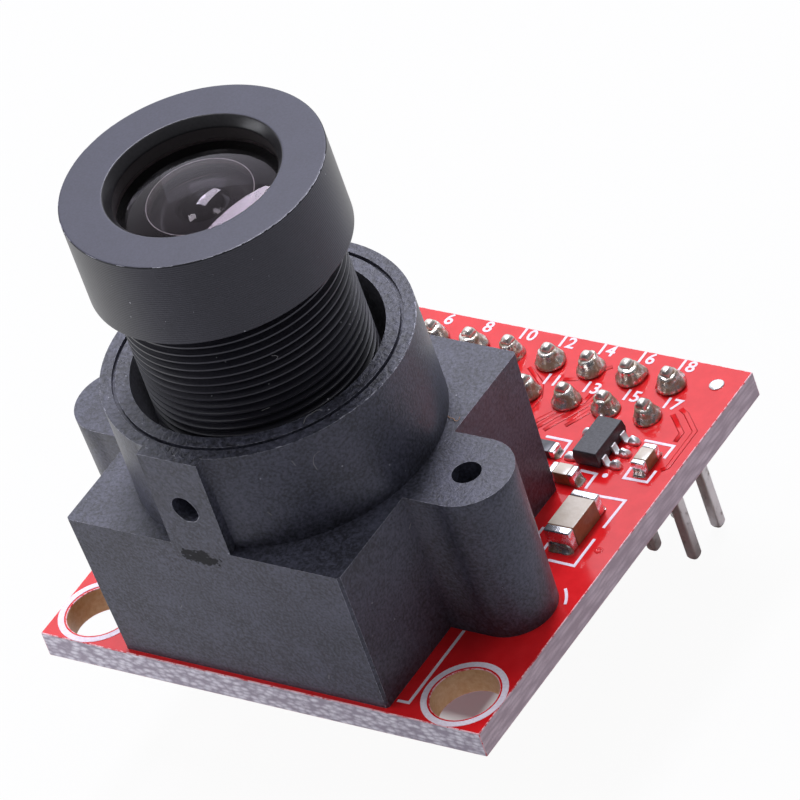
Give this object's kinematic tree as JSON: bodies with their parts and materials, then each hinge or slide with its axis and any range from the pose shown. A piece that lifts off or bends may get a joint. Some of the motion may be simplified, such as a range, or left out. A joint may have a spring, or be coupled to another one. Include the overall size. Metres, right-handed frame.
{
  "type": "camera module",
  "caption": "Small board camera: round screw-focus lens in a moulded holder on a square red circuit board with a two-row pin header.",
  "frame": {"origin": "midway between the two mounting holes, on the underside of the circuit board", "axes": "+Z out of the board towards the lens, +X along the line of the two mounting holes, +Y from them towards the pin header"},
  "size_m": [0.028, 0.028, 0.037],
  "materials": {
    "solder_mask": "glossy red solder mask on glass-epoxy laminate",
    "holder_plastic": "matte black glass-filled moulding",
    "screw_steel": "plain steel",
    "header_plastic": "matte black moulding",
    "pin_metal": "tinned",
    "solder": "bright soldered tin",
    "sensor_package": "dark package",
    "cover_glass": "clear cover glass",
    "chip_plastic": "matte black epoxy",
    "lead_metal": "tinned",
    "capacitor_ceramic": "beige-brown ceramic",
    "cap_tin": "tinned end caps",
    "resistor_ceramic": "dark glazed film",
    "anodised_barrel": "black anodised",
    "blackened_brass": "blackened",
    "coated_glass": "coated optical glass",
    "filter_glass": "infrared-cut filter glass"
  },
  "bodies": {
    "board": {"circuit_board": "solder_mask", "lens_holder": "holder_plastic", "holder_screws": "screw_steel", "header_block": "header_plastic", "header_pins": "pin_metal", "header_solder": "solder", "image_sensor": "sensor_package", "sensor_glass": "cover_glass", "sensor_solder": "solder", "regulator_body": "chip_plastic", "regulator_leads": "lead_metal", "large_capacitor_body": "capacitor_ceramic", "large_capacitor_caps": "cap_tin", "small_capacitor_bodies": "capacitor_ceramic", "small_capacitor_caps": "cap_tin", "resistor_body": "resistor_ceramic", "resistor_caps": "cap_tin"},
    "optics": {"front_lens": "coated_glass", "middle_lens": "coated_glass", "rear_lens": "coated_glass", "infrared_filter": "filter_glass"},
    "barrel": {"lens_barrel": "anodised_barrel", "aperture_stop": "blackened_brass", "spacer_tube": "anodised_barrel", "rear_retaining_ring": "blackened_brass"}
  },
  "joints": [
    {"name": "focus_travel", "type": "slide", "parent": "board", "child": "optics", "axis": [0, 0, 1], "range_m": [-0.002, 0.0015]},
    {"name": "barrel_turn", "type": "hinge", "parent": "optics", "child": "barrel", "pos_m": [-0.0002, 0.00645, 0.0235], "axis": [0, 0, 1], "range_deg": [-1440, 1080]}
  ],
  "couplings": [
    {"joint": "barrel_turn", "follows": "focus_travel", "rad_per_m": 12566}
  ]
}
